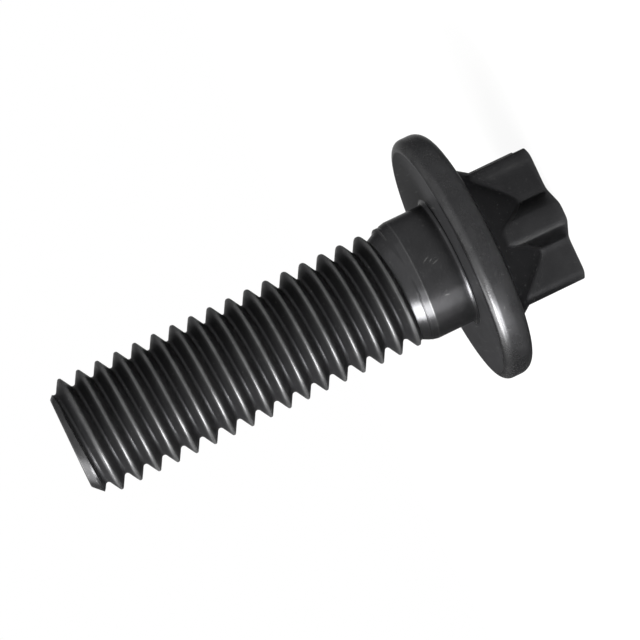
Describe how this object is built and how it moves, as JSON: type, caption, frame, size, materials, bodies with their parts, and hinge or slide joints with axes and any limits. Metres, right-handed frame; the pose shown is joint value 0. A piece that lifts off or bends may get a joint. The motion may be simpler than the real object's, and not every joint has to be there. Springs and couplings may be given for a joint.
{
  "type": "flange bolt",
  "caption": "Steel flange bolt with a lobed outside drive, a wide round flange, a short plain shank and a right-hand thread with a chamfered tip.",
  "frame": {"origin": "on the bolt's axis, in the plane of the bearing face under the flange", "axes": "+Z along the axis towards the threaded tip, with the lobed head below; two opposite lobes lie along Y"},
  "size_m": [0.0104, 0.0104, 0.0206],
  "materials": {
    "black_oxide_steel": "steel with an oiled black oxide coat, satin to glossy, with fine handling scratches"
  },
  "bodies": {
    "root": {"flange_bolt": "black_oxide_steel"}
  },
  "joints": []
}
